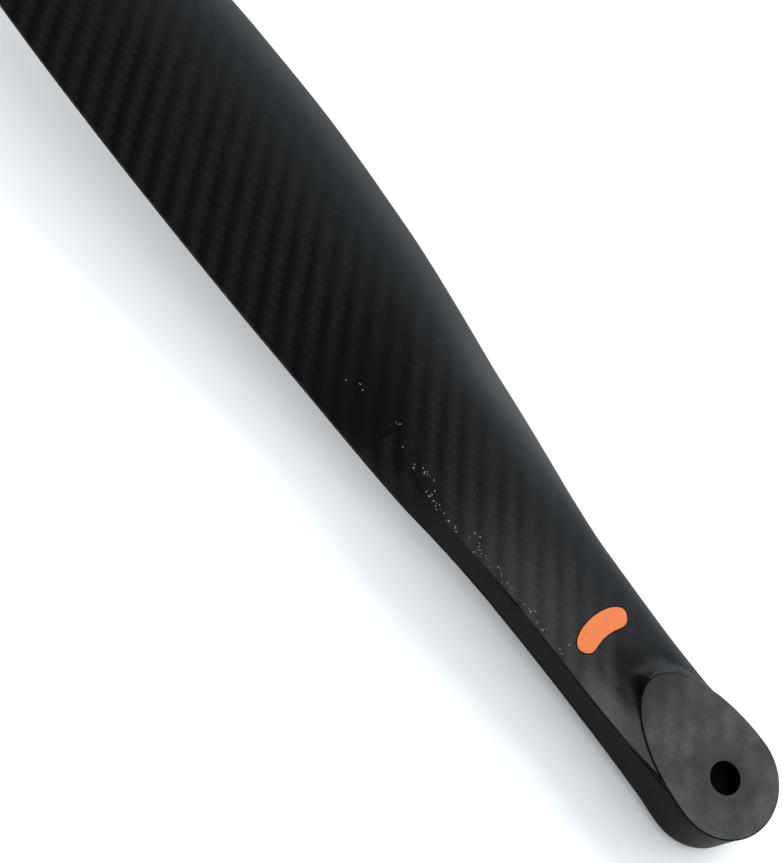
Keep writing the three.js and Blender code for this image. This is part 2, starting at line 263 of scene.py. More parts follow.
def painted_shade_share(x, y):
    """0 to 1 where the cloth is painted dark against the seat, as shade in the hollow."""
    reach = lerp(PAINTED_SHADE_REACH_SIDE, PAINTED_SHADE_REACH, smooth(*PAINTED_SHADE_WIDENS, x))
    reach *= lerp(1, PAINTED_SHADE_TRAILING_SHARE, smooth(*PAINTED_SHADE_TRAILING, y))
    near_seat = 1 - beyond_seat(x, y) / reach
    from_spot = math.hypot((x - PAINTED_SHADE_SPOT.x) / PAINTED_SHADE_SPOT_LENGTH, (y - PAINTED_SHADE_SPOT.y) / PAINTED_SHADE_SPOT_WIDTH)
    return min(1, max(0, near_seat, 1 - from_spot))


def fillet_height(x, y, z):
    """How much the hollow fillet lifts the neck's surface at x, y, where it lies at z."""
    return max(0, ROOT_THICKNESS - FILLET_DROP - z) * fillet_share(x, y) ** FILLET_HOLLOWNESS


# ---------- mesh building ----------

def mesh_object(name, points, faces, sharp_degrees=32):
    mesh = bpy.data.meshes.new(name)
    mesh.from_pydata([tuple(p * MM) for p in points], [], faces)
    mesh.validate()
    mesh.update()
    for polygon in mesh.polygons:
        polygon.use_smooth = True
    mesh.set_sharp_from_angle(angle=math.radians(sharp_degrees))
    piece = bpy.data.objects.new(name, mesh)
    bpy.context.scene.collection.objects.link(piece)
    return piece


def slab_faces(rows, columns):
    """Faces of a closed body made of two grids, the first above the second."""
    faces = []
    below = rows * columns

    def top(i, j):
        return i * columns + j

    def bottom(i, j):
        return below + i * columns + j

    for i in range(rows - 1):
        for j in range(columns - 1):
            faces.append((top(i, j), top(i, j + 1), top(i + 1, j + 1), top(i + 1, j)))
            faces.append((bottom(i, j), bottom(i + 1, j), bottom(i + 1, j + 1), bottom(i, j + 1)))
        end = columns - 1
        faces.append((top(i, 0), top(i + 1, 0), bottom(i + 1, 0), bottom(i, 0)))
        faces.append((top(i + 1, end), top(i, end), bottom(i, end), bottom(i + 1, end)))
    for j in range(columns - 1):
        end = rows - 1
        faces.append((top(0, j + 1), top(0, j), bottom(0, j), bottom(0, j + 1)))
        faces.append((top(end, j), top(end, j + 1), bottom(end, j + 1), bottom(end, j)))
    return faces


def face_outwards(piece):
    """Turns the piece's faces over if they enclose a negative volume."""
    mesh = piece.data
    volume = 0.0
    for polygon in mesh.polygons:
        corners = [mesh.vertices[i].co for i in polygon.vertices]
        for k in range(1, len(corners) - 1):
            volume += corners[0].dot(corners[k].cross(corners[k + 1]))
    if volume < 0:
        mesh.flip_normals()


def point_attribute(piece, name, values):
    attribute = piece.data.attributes.new(name, "FLOAT", "POINT")
    attribute.data.foreach_set("value", values)


CLOTH_TURN_ROOT = math.radians(-4)
CLOTH_SWING = math.radians(0.09)        # the cloth's turn per millimetre along the blade,
CLOTH_SWING_FROM = 88.0                 # from this x on


def on_cloth(x, y):
    """Place on the cloth of a point of the laid-out surface, for a cloth that swings along the blade."""
    beyond = max(0, x - CLOTH_SWING_FROM)
    turn = CLOTH_TURN_ROOT + CLOTH_SWING * beyond
    drift = CLOTH_TURN_ROOT * x + CLOTH_SWING * beyond * beyond / 2
    return x - turn * y, y + drift


def cloth_map(piece, flat):
    """Writes each point's place on the flat cloth, in millimetres, as a UV map."""
    layer = piece.data.uv_layers.new(name="cloth")
    for loop in piece.data.loops:
        layer.data[loop.index].uv = flat[loop.vertex_index]


# Rows along the blade: (from, to, step). None lies within ROW_GAP of the first or the last one.
ZONES = ((SKIN_START, 60, 0.5), (60, 135, 1.0), (135, 344, 2.5))
TIP_ROWS = 22
ROW_GAP = 0.2
SLOPE_COLUMNS = 16
FLAT_COLUMNS = 44
NOSE_COLUMNS = 24


def stations(start, end):
    places = []
    for low, high, step in ZONES:
        places += [low + step * k for k in range(int(round((high - low) / step)))]
    round_start = TIP_X - TIP_ROUND
    places += [round_start + TIP_ROUND * math.sin(math.pi / 2 * k / TIP_ROWS) for k in range(TIP_ROWS)]
    return [start] + [x for x in places if start + ROW_GAP < x < end - ROW_GAP] + [end]


def places_across(x):
    section = Section(x)
    nose_start = section.nose_start
    flat_start = min(section.slope_width, nose_start - LEAST_FLAT)
    places = [flat_start * k / SLOPE_COLUMNS for k in range(SLOPE_COLUMNS)]
    places += [lerp(flat_start, nose_start, k / FLAT_COLUMNS) for k in range(FLAT_COLUMNS)]
    for k in range(NOSE_COLUMNS + 1):
        into_nose = math.sin(math.pi / 2 * k / NOSE_COLUMNS) ** (2 / section.squareness)
        places.append(nose_start + (1 - nose_start) * into_nose)
    return places


def clear_of_bore(p):
    """Moves a skin's point out of the bore and into the solid eye around it, where it is hidden."""
    radius = math.hypot(p.x, p.y)
    if radius < SKIN_CLEAR:
        share = (radius - SKIN_START) / (SKIN_CLEAR - SKIN_START)
        wanted = lerp(SKIN_NEAREST, SKIN_CLEAR, share)
        p.x *= wanted / radius
        p.y *= wanted / radius


def skin_piece(name, side):
    """One moulded skin, with the fillet up to the seat on its upper side."""
    rows = stations(SKIN_START, TIP_X - SKIN_END)
    outer, inner, flat, slope, hollow, across = [], [], [], [], [], []
    for x in rows:
        section = Section(x)
        inside = Section(x, skin_thickness(x))
        run = 0.0
        before = None
        line = []
        for v in places_across(x):
            p = section.point(v, side)
            # share of the painted shade in the hollow round the seat
            hollow.append(painted_shade_share(p.x, p.y) if side > 0 else 0)
            if side > 0:
                p.z += fillet_height(p.x, p.y, p.z)
            else:
                p.z += UNDER_EYE * smooth(0, UNDER_EYE_STEP, beyond_seat(p.x, p.y))
            q = inside.point(v, side)
            q.z = min(q.z, p.z - LEAST_SKIN) if side > 0 else max(q.z, p.z + LEAST_SKIN)
            run += 0 if before is None else math.hypot(p.y - before.y, p.z - before.z)
            before = p.copy()
            clear_of_bore(p)
            clear_of_bore(q)
            outer.append(p)
            inner.append(q)
            line.append(run)
            from_slope = (v - section.slope_width) * (section.y_back - section.y_front)
            slope.append(from_slope)
            across.append(v)
        middle = line[len(line) // 2]
        middle_y = outer[-len(line) + len(line) // 2].y
        flat += [on_cloth(x, middle_y + middle - run_at) for run_at in line]
    points = outer + inner if side > 0 else inner + outer
    piece = mesh_object(name, points, slab_faces(len(rows), len(places_across(SKIN_START))))
    face_outwards(piece)
    cloth_map(piece, flat + flat)
    point_attribute(piece, "past_slope", slope + slope)
    point_attribute(piece, "hollow", hollow + hollow)
    point_attribute(piece, "across", across + across)
    return piece


# ---------- root ----------

RING_POINTS = 224
SEAT_RINGS = 12
RIM_RINGS = 4
WALL_RINGS = 8
UNDERSIDE_RINGS = 4
BORE_EDGE = 0.3             # broken edge of the bore
EDGE_MIDDLE = 0.3           # where a broken edge's middle ring lies, as a share of the edge


def eye_piece():
    """The round eye with its tongue-shaped seat, as rings up the bore, over the rim and back below."""
    top, edge, bore_edge = ROOT_THICKNESS, EDGE_ROUND, BORE_EDGE
    # Each ring: share of the way from bore to outline, plus an offset in radius, and its height.
    rings = [(0, bore_edge, 0), (0, 0, bore_edge), (0, 0, top / 2), (0, 0, top - bore_edge)]
    rings += [(0, bore_edge * EDGE_MIDDLE, top - bore_edge * EDGE_MIDDLE), (0, bore_edge, top)]
    for k in range(1, SEAT_RINGS + 1):
        share = k / SEAT_RINGS
        rings.append((share, lerp(bore_edge, -edge, share), top))
    for k in range(1, RIM_RINGS + 1):
        angle = math.pi / 2 * k / RIM_RINGS
        rings.append((1, -edge + edge * math.sin(angle), top - edge + edge * math.cos(angle)))
    rings += [(1, 0, top * k / WALL_RINGS) for k in range(WALL_RINGS - 1, 0, -1)]
    rings += [(1, 0, edge), (1, -edge * EDGE_MIDDLE, edge * EDGE_MIDDLE), (1, -edge, 0)]
    for k in range(UNDERSIDE_RINGS - 1, 0, -1):
        share = k / UNDERSIDE_RINGS
        rings.append((share, lerp(bore_edge, -edge, share), 0))
    points = []
    for share, offset, z in rings:
        for k in range(RING_POINTS):
            angle = 2 * math.pi * k / RING_POINTS
            radius = lerp(BORE_RADIUS, seat_radius(angle), share) + offset
            points.append(Vector((radius * math.cos(angle), radius * math.sin(angle), z)))
    faces = []
    count = len(rings)
    for i in range(count):
        for k in range(RING_POINTS):
            a, b = i * RING_POINTS, (i + 1) % count * RING_POINTS
            n = (k + 1) % RING_POINTS
            faces.append((a + k, a + n, b + n, b + k))
    piece = mesh_object("root_eye", points, faces)
    face_outwards(piece)
    return piece


CORE_EVERY = 3              # the core takes every third place across
CORE_NOSE = 0.985           # share of the chord where it ends, inside the skins' nose
CORE_SET_BACK = 0.04        # its wall lies this far inside the skins' edges


def neck_core_piece():
    """The block's neck and tail between the skins, with its wall showing at the trailing edge."""
    rows = stations(BLOCK_START, BLOCK_END)
    upper, lower = [], []
    for x in rows:
        section = Section(x, skin_thickness(x) + BOND)
        places = places_across(x)[::CORE_EVERY]
        places[-1] = CORE_NOSE
        upper += [section.point(v, 1) for v in places]
        lower += [section.point(v, -1) for v in places]
        reach = len(places)
        for line in (upper, lower):
            line[-reach] = line[-reach] - Vector((0, CORE_SET_BACK, 0))
    piece = mesh_object("neck_core", upper + lower, slab_faces(len(rows), reach))
    face_outwards(piece)
    return piece


def join_pieces(name, first, *others):
    with bpy.context.temp_override(active_object=first, selected_editable_objects=[first, *others]):
        bpy.ops.object.join()
    first.name = name
    return first


# ---------- colour mark ----------

MARK_RADIUS = 14            # of the arc that the patch follows
MARK_BREADTH = 5.8
MARK_LEAST_BREADTH = 0.02   # share of the breadth at the very ends
MARK_END_SQUARENESS, MARK_END_POWER = 5, 1 / 2.6
MARK_EDGE_SQUARENESS, MARK_TIP_SQUARENESS = 8, 16
MARK_PLACE = 0.4            # share of the chord where the height of the neck under it is taken
MARK_STRETCH = 1.03         # the arc is this much longer than the span it covers
MARK_SUNK = 0.02            # its underside lies this far inside the skin,
MARK_LIFT = 0.02            # its edge this far above it,
MARK_PAINT = 0.06           # and its middle this much more
MARK_LENGTH_STEPS = 48
MARK_BREADTH_STEPS = 16


def mark_point(t, s):
    """Place on the patch: t from -1 to 1 along it and s from -1 to 1 across it."""
    rounded = max(MARK_LEAST_BREADTH, 1 - abs(t) ** MARK_END_SQUARENESS)
    breadth = MARK_BREADTH * rounded ** MARK_END_POWER
    angle = t * (MARK_HIGH.y - MARK_LOW.y) / 2 / MARK_RADIUS * MARK_STRETCH
    radius = MARK_RADIUS + s * breadth / 2
    x = MARK_HIGH.x - MARK_BREADTH / 2 - MARK_RADIUS + radius * math.cos(angle)
    y = (MARK_HIGH.y + MARK_LOW.y) / 2 + radius * math.sin(angle)
    return Vector((x, y, Section(MARK_LOW.x).height(MARK_PLACE, 1)))


def mark_piece():
    """The arc-shaped paint patch, laid on the neck's surface."""
    upper, lower = [], []
    for i in range(MARK_LENGTH_STEPS + 1):
        t = -math.cos(math.pi * i / MARK_LENGTH_STEPS)
        for j in range(MARK_BREADTH_STEPS + 1):
            s = -math.cos(math.pi * j / MARK_BREADTH_STEPS)
            place = mark_point(t, s)
            crown = math.sqrt((1 - abs(s) ** MARK_EDGE_SQUARENESS) * (1 - abs(t) ** MARK_TIP_SQUARENESS))
            upper.append(place + Vector((0, 0, MARK_LIFT + MARK_PAINT * crown)))
            lower.append(place - Vector((0, 0, MARK_SUNK)))
    faces = slab_faces(MARK_LENGTH_STEPS + 1, MARK_BREADTH_STEPS + 1)
    piece = mesh_object("paint_mark", upper + lower, faces)
    face_outwards(piece)
    return piece


# ---------- dark lines of painted shade along the seat's rim and the wall's corner, and round the mark's outline ---

LINE_SIDES = 8
LINE_RADIUS = 0.16
MARK_LINE = 0.14            # radius of the mark's outline
SEAT_LINE_DROP = 0.3        # the seat's line lies this far below its face
LINE_SUNK = 0.06            # the corner's line is sunk this far
CORNER_LINE_START = 7
CORNER_LINE_END = 92
CORNER_LINE_SHIFT = (58, 66)        # x where it moves from the wall's edge to the top of the slope
CORNER_LINE_TAPER = 0.9             # share of its radius that it has lost at its outboard end


def bead(points, closed, radius_at):
    """A thin round bead through the points, tapering as radius_at says; its ends are closed."""
    count = len(points)
    rings, faces = [], []
    for i, p in enumerate(points):
        before = points[i - 1] if closed or i else p
        after = points[(i + 1) % count] if closed or i < count - 1 else p
        forward = (after - before).normalized()
        side = forward.cross(Vector((0, 0, 1))).normalized()
        up = side.cross(forward)
        for k in range(LINE_SIDES):
            angle = 2 * math.pi * k / LINE_SIDES
            rings.append(p + radius_at(i / (count - 1)) * (math.cos(angle) * side + math.sin(angle) * up))
    for i in range(count if closed else count - 1):
        a, b = i * LINE_SIDES, (i + 1) % count * LINE_SIDES
        for k in range(LINE_SIDES):
            n = (k + 1) % LINE_SIDES
            faces.append((a + k, a + n, b + n, b + k))
    if not closed:
        faces.append(tuple(range(LINE_SIDES - 1, -1, -1)))
        faces.append(tuple(range((count - 1) * LINE_SIDES, count * LINE_SIDES)))
    return rings, faces


def edge_line_pieces():
    """Dark beads: painted shade round the seat's outline and along the wall's top corner, and a dark outline
    round the mark.
    """
    outline = []
    for k in range(RING_POINTS):
        angle = 2 * math.pi * k / RING_POINTS
        radius = seat_radius(angle)
        place = (radius * math.cos(angle), radius * math.sin(angle), ROOT_THICKNESS - SEAT_LINE_DROP)
        outline.append(Vector(place))
    corner = []
    for x in stations(CORNER_LINE_START, CORNER_LINE_END):
        section = Section(x)
        across = section.slope_width * smooth(*CORNER_LINE_SHIFT, x)
        corner.append(section.point(across, 1) - Vector((0, 0, LINE_SUNK)))
    sweep = [-math.cos(math.pi * k / MARK_LENGTH_STEPS) for k in range(MARK_LENGTH_STEPS)]
    around_mark = [mark_point(t, 1) for t in sweep] + [mark_point(-t, -1) for t in sweep]
    beads = (
        bead(outline, True, lambda t: LINE_RADIUS),
        bead(corner, False, lambda t: LINE_RADIUS * (1 - CORNER_LINE_TAPER * t ** 3)),
        bead(around_mark, True, lambda t: MARK_LINE),
    )
    points, faces = [], []
    for more_points, more_faces in beads:
        faces += [tuple(len(points) + i for i in face) for face in more_faces]
        points += more_points
    piece = mesh_object("edge_lines", points, faces, sharp_degrees=60)
    face_outwards(piece)
    return piece


# ---------- resin specks along the shoulder ----------

SPECK_SEED = 11
SPECKS = 110
CHIPS_PER_SPECK = 4
SPECK_X, SPECK_X_SPREAD = 80, 20    # where they are thickest
SPECK_FROM, SPECK_TO = 32, 150
SPECK_LEAST_INWARD = 0.2
SPECK_SPREAD_NECK = 1               # how far they stray inwards along the neck,
SPECK_SPREAD_OUTBOARD = 2.4         # and beyond it
SPECK_NECK_END = 88
SPECK_CORNER = 0.15                 # most of the chord that the corner can lie in from the edge
CHIP_X_SPREAD, CHIP_INWARD_SPREAD = 0.9, 0.5
CHIP_SIZE = (0.09, 0.26)
CHIP_STRETCH = (1, 2.2)
CHIP_RAGGED = (0.7, 1.2)
CHIP_SIDES = 7
CHIP_RISE = 0.45                    # height of a chip's peak, as a share of its size
CHIP_EDGE_DEPTH, CHIP_FOOT_DEPTH = 0.05, 0.12


def speck_pieces():
    """Tiny chips of clear resin scattered along the upper corner of the side wall."""
    draw = random.Random(SPECK_SEED)
    points, faces = [], []
    places = []
    while len(places) < SPECKS:
        x = draw.gauss(SPECK_X, SPECK_X_SPREAD)
        if SPECK_FROM < x < SPECK_TO:
            spread = SPECK_SPREAD_NECK if x < SPECK_NECK_END else SPECK_SPREAD_OUTBOARD
            inward = abs(draw.gauss(0, spread)) + SPECK_LEAST_INWARD
            places += [(x + draw.gauss(0, CHIP_X_SPREAD), inward + abs(draw.gauss(0, CHIP_INWARD_SPREAD)))
                       for _ in range(draw.randint(1, CHIPS_PER_SPECK))]
    for x, inward in places:
        section = Section(x)
        chord = section.y_back - section.y_front
        corner = min(section.slope_width, SPECK_CORNER)
        place = section.point(corner + inward / chord, 1)
        size = draw.uniform(*CHIP_SIZE)
        stretch = draw.uniform(*CHIP_STRETCH)
        turn = Matrix.Rotation(draw.uniform(0, math.pi), 3, "Z")
        start = len(points)
        for k in range(CHIP_SIDES):
            angle = 2 * math.pi * k / CHIP_SIDES
            reach = size * draw.uniform(*CHIP_RAGGED)
            edge = Vector((reach * stretch * math.cos(angle), reach * math.sin(angle), -CHIP_EDGE_DEPTH))
            points.append(place + turn @ edge)
        points.append(place + Vector((0, 0, size * CHIP_RISE)))
        points.append(place + Vector((0, 0, -CHIP_FOOT_DEPTH)))
        peak, foot = start + CHIP_SIDES, start + CHIP_SIDES + 1
        for k in range(CHIP_SIDES):
            n = (k + 1) % CHIP_SIDES
            faces.append((start + k, start + n, peak))
            faces.append((start + n, start + k, foot))
    return mesh_object("resin_specks", points, faces, sharp_degrees=60)


# ---------- materials ----------

class Nodes:
    """A short way to write shader nodes."""

    def __init__(self, name):
        self.material = bpy.data.materials.new(name)
        self.material.use_nodes = True
        self.tree = self.material.node_tree
        self.shader = self.tree.nodes["Principled BSDF"]

    def add(self, kind, **settings):
        node = self.tree.nodes.new(kind)
        for key, value in settings.items():
            setattr(node, key, value)
        return node

    def put(self, socket, value):
        if hasattr(value, "is_linked"):
            self.tree.links.new(value, socket)
        else:
            socket.default_value = value

    def math(self, operation, *values):
        node = self.add("ShaderNodeMath", operation=operation)
        for socket, value in zip(node.inputs, values):
            self.put(socket, value)
        return node.outputs[0]

    def product(self, first, *others):
        for other in others:
            first = self.math("MULTIPLY", first, other)
        return first

    def between(self, value, low, high):
        """low to high as value goes from 0 to 1."""
        return self.math("MULTIPLY_ADD", value, high - low, low)

    def blend(self, factor, low, high):
        """Linear blend of two colours."""
        node = self.add("ShaderNodeMix", data_type="RGBA")
        self.put(node.inputs["Factor"], factor)
        self.put(node.inputs["A"], low)
        self.put(node.inputs["B"], high)
        return node.outputs["Result"]

    def ramp(self, value, low, high):
        """0 to 1 as value goes from low to high, with soft ends."""
        node = self.add("ShaderNodeMapRange", interpolation_type="SMOOTHSTEP")
        self.put(node.inputs["Value"], value)
        node.inputs["From Min"].default_value = low
        node.inputs["From Max"].default_value = high
        return node.outputs["Result"]

    def noise(self, vector, scale, detail=2.0, roughness=0.5):
        node = self.add("ShaderNodeTexNoise")
        self.put(node.inputs["Vector"], vector)
        node.inputs["Scale"].default_value = scale
        node.inputs["Detail"].default_value = detail
        node.inputs["Roughness"].default_value = roughness
        return node.outputs["Fac"]

    def position_mm(self):
        """Object position in millimetres."""
        place = self.add("ShaderNodeTexCoord").outputs["Object"]
        scale = self.add("ShaderNodeVectorMath", operation="SCALE")
        self.put(scale.inputs[0], place)
        scale.inputs["Scale"].default_value = 1 / MM
        return scale.outputs["Vector"]

    def split(self, vector):
        node = self.add("ShaderNodeSeparateXYZ")
        self.put(node.inputs[0], vector)
        return node.outputs

    def attribute(self, name):
        return self.add("ShaderNodeAttribute", attribute_name=name).outputs["Fac"]

    def bump(self, height, distance, strength=1.0, normal=None):
        node = self.add("ShaderNodeBump")
        self.put(node.inputs["Height"], height)
        node.inputs["Distance"].default_value = distance * MM
        node.inputs["Strength"].default_value = strength
        if normal is not None:
            self.put(node.inputs["Normal"], normal)
        return node.outputs["Normal"]

    def finish(self, colour, roughness, **fixed):
        self.put(self.shader.inputs["Base Color"], colour)
        self.put(self.shader.inputs["Roughness"], roughness)
        for key, value in fixed.items():
            self.shader.inputs[key.replace("_", " ")].default_value = value
        return self.material


TOW = 1.82                  # width of one 3K tow in the cloth
TOW_SQUARENESS = 0.3        # the lower, the flatter a tow's back
TOW_DIP = 0.3               # share of its height that a tow loses where it dives under another


def twill(nodes, flat):
    """2/2 twill: returns the surface height in a tow, and its stripes, 1 where lengthwise tows lie on top."""
    x, y, _ = nodes.split(flat)
    u = nodes.math("DIVIDE", x, TOW)
    w = nodes.math("DIVIDE", y, TOW)
    in_u = nodes.math("FRACT", u)
    in_w = nodes.math("FRACT", w)
    cell = nodes.math("ADD", nodes.math("FLOOR", u), nodes.math("FLOOR", w))
    step = nodes.math("FLOORED_MODULO", cell, 4.0)
    lengthwise = nodes.math("LESS_THAN", step, 1.5)

    def crown(across, start, into):
        into_float = nodes.math("ADD", nodes.math("SUBTRACT", step, start), into)
        float_share = nodes.math("DIVIDE", into_float, 2.0)
        over = nodes.math("SINE", nodes.product(float_share, math.pi))
        width = nodes.math("SINE", nodes.product(across, math.pi))
        rounded = nodes.math("POWER", nodes.math("MAXIMUM", width, 0.001), TOW_SQUARENESS)
        lifted = nodes.between(nodes.math("MAXIMUM", over, 0.0), 1 - TOW_DIP, 1)
        return nodes.product(rounded, lifted)

    along_blade = crown(in_w, 0.0, in_u)
    across_blade = crown(in_u, 2.0, in_w)
    choose = nodes.add("ShaderNodeMix", data_type="FLOAT")
    nodes.put(choose.inputs["Factor"], lengthwise)
    nodes.put(choose.inputs["A"], across_blade)
    nodes.put(choose.inputs["B"], along_blade)
    # The stripes that the tows make, half hard-edged and half blurred as under thick resin.
    phase = nodes.product(nodes.math("SUBTRACT", nodes.math("ADD", u, w), 2.0), math.pi / 2)
    blurred = nodes.math("MULTIPLY_ADD", nodes.math("COSINE", phase), 0.5, 0.5)
    stripes = nodes.product(nodes.math("ADD", blurred, lengthwise), 0.5)
    return choose.outputs["Result"], stripes


CARBON_DARK = (0.0042, 0.0042, 0.0044, 1)
CARBON_LENGTHWISE = (0.0102, 0.0104, 0.0106, 1)
CARBON_CROSSWISE = (0.004, 0.0041, 0.0043, 1)
LEADING_SHEEN = (0.0115, 0.0145, 0.0165, 1)
HAZE = (0.034, 0.034, 0.035, 1)
HOLLOW_SHADE = (0.003, 0.0031, 0.0036, 1)
STRIP_SANDED_AND_LIT = (0.07, 0.07, 0.071, 1)
SCUFF_AND_HIGHLIGHT = (0.034, 0.038, 0.041, 1)
WALL = (0.0026, 0.0027, 0.003, 1)

# Each range runs from where a finish is absent to where it is full: X along the blade and PAST
# the top of the slope in millimetres, ACROSS as a share of the chord, NEAR as the hollow's share.
LEADING_SHEEN_ACROSS = (0.4, 0.85)
HAZE_X, HAZE_PAST, HAZE_NEAR = (112.0, 52.0), (25.0, 3.0), (0.8, 0.0)
HOLLOW_SHADE_NEAR = (0.0, 0.9)
STRIP_SANDED_AND_LIT_X, STRIP_SANDED_AND_LIT_PAST, STRIP_SANDED_AND_LIT_NEAR = (44.0, 28.0), (7.0, 3.0), (0.5, 0.05)
SCUFF_AND_HIGHLIGHT_X, SCUFF_AND_HIGHLIGHT_END_X, SCUFF_AND_HIGHLIGHT_ACROSS = (62.0, 90.0), (132.0, 96.0), (0.66, 0.95)
SHADE_BESIDE_X, SHADE_BESIDE_END_X, SHADE_BESIDE_PAST = (84.0, 98.0), (155.0, 118.0), (6.5, 0.0)
WALL_X, WALL_PAST = (108.0, 94.0), (0.15, -0.35)
LEADING_SHEEN_SHARE = 0.85
BLOTCH_SHARE = 0.25
SHADE_BESIDE_SHARE = 0.7
WEAVE_IN_HAZE = 0.06


def carbon_skin_material():
    """Twill cloth under satin resin, plain on the trailing-edge slope, with a sanding haze on the neck."""
    nodes = Nodes("carbon_skin")
    uv = nodes.add("ShaderNodeUVMap", uv_map="cloth").outputs["UV"]
    height, stripes = twill(nodes, uv)
    place = nodes.position_mm()
    px = nodes.split(place)[0]
    past = nodes.attribute("past_slope")
    across = nodes.attribute("across")
    hollow = nodes.attribute("hollow")
    tows = nodes.blend(stripes, CARBON_CROSSWISE, CARBON_LENGTHWISE)
    cloth = nodes.blend(nodes.ramp(height, 0.1, 0.7), CARBON_DARK, tows)
    # Painted sheen: the leading part of the chord is painted lighter and bluer, where it reflects the light
    # and the weave hardly shows.
    sheen = nodes.ramp(across, *LEADING_SHEEN_ACROSS)
    cloth = nodes.blend(nodes.product(sheen, LEADING_SHEEN_SHARE), cloth, LEADING_SHEEN)
    blotch = nodes.ramp(nodes.noise(place, scale=0.09, detail=3.0), 0.35, 0.65)
    cloth = nodes.blend(nodes.product(blotch, BLOTCH_SHARE), cloth, CARBON_LENGTHWISE)
    # Haze: over the neck's trailing half, fading out past the shoulder.
    grain = nodes.ramp(nodes.noise(place, scale=1.1, detail=4.0, roughness=0.65), 0.2, 0.8)
    haze = nodes.product(nodes.ramp(px, *HAZE_X), nodes.ramp(past, *HAZE_PAST))
    haze = nodes.product(haze, nodes.between(grain, 0.6, 1), nodes.ramp(hollow, *HAZE_NEAR))
    weave_in_haze = nodes.math("MULTIPLY_ADD", height, WEAVE_IN_HAZE, nodes.between(stripes, 0.5, 0.85))
    cloth = nodes.blend(nodes.product(haze, weave_in_haze), cloth, HAZE)
    # Painted shade in the hollow round the seat.
    cloth = nodes.blend(nodes.ramp(hollow, *HOLLOW_SHADE_NEAR), cloth, HOLLOW_SHADE)
    # The strip between the seat and the wall, sanded bare and painted lighter to offset the seat's shadow on
    # it.
    strip_sanded_and_lit = nodes.product(nodes.ramp(px, *STRIP_SANDED_AND_LIT_X), nodes.ramp(past, *STRIP_SANDED_AND_LIT_PAST))
    strip_sanded_and_lit = nodes.product(strip_sanded_and_lit, nodes.ramp(hollow, *STRIP_SANDED_AND_LIT_NEAR), nodes.between(grain, 0.7, 1))
    cloth = nodes.blend(strip_sanded_and_lit, cloth, STRIP_SANDED_AND_LIT)
    # Scuffed nose with a painted highlight, outboard of the neck.
    scuff_and_highlight = nodes.product(nodes.ramp(px, *SCUFF_AND_HIGHLIGHT_X), nodes.ramp(px, *SCUFF_AND_HIGHLIGHT_END_X))
    scuff_and_highlight = nodes.product(scuff_and_highlight, nodes.ramp(across, *SCUFF_AND_HIGHLIGHT_ACROSS), nodes.between(grain, 0.5, 1))
    cloth = nodes.blend(scuff_and_highlight, cloth, SCUFF_AND_HIGHLIGHT)
    # Painted shade beside the top of the slope, outboard of the neck, softening the wall's edge.
    shade_beside = nodes.product(nodes.ramp(px, *SHADE_BESIDE_X), nodes.ramp(px, *SHADE_BESIDE_END_X))
    shade_beside = nodes.product(shade_beside, nodes.ramp(past, *SHADE_BESIDE_PAST), SHADE_BESIDE_SHARE)
    cloth = nodes.blend(shade_beside, cloth, CARBON_DARK)
    # Plain resin-rich wall on the steep slope.
    slope = nodes.product(nodes.ramp(past, *WALL_PAST), nodes.ramp(px, *WALL_X))
    colour = nodes.blend(slope, cloth, WALL)
    roughness = nodes.between(nodes.noise(place, scale=2.4, detail=3.0), 0.34, 0.46)
    weave_relief = nodes.product(height, nodes.math("SUBTRACT", 1.0, slope))
    normal = nodes.bump(weave_relief, distance=0.04, strength=0.4)
    normal = nodes.bump(nodes.noise(place, scale=0.35), distance=0.25, strength=0.25, normal=normal)
    nodes.put(nodes.shader.inputs["Normal"], normal)
    coat_normal = nodes.bump(nodes.noise(place, scale=0.22), distance=0.35, strength=0.3)
    nodes.put(nodes.shader.inputs["Coat Normal"], coat_normal)
    return nodes.finish(colour, roughness, Coat_Weight=0.1, Coat_Roughness=0.24, Specular_IOR_Level=0.1)


SEAT_LIGHT = (0.07, 0.07, 0.071, 1)
SEAT_DARK = (0.039, 0.039, 0.04, 1)
SEAT_END = (0.009, 0.009, 0.01, 1)
BORE_SHADE = (0.002, 0.002, 0.002, 1)
SEAT_FLAT_X = (80.0, 60.0)      # the sanded flats end here
SEAT_PLY_X = (2.0, 14.0)        # the twill begins to show,
SEAT_DARK_X = (17.0, 29.0)      # and the seat's outboard end darkens
CLOTH_X = (88.0, 110.0)         # the wall turns into bare cloth
CLAMP_WEAR = (12.0, 5.0)        # distance from the bore's axis over which the wear sets in
PLY_SHARE, DUST_SHARE, SEAT_DARK_SHARE, CLAMP_WEAR_SHARE = 0.6, 0.3, 0.68, 0.4
BORE_SHADE_MARGIN = 0.1


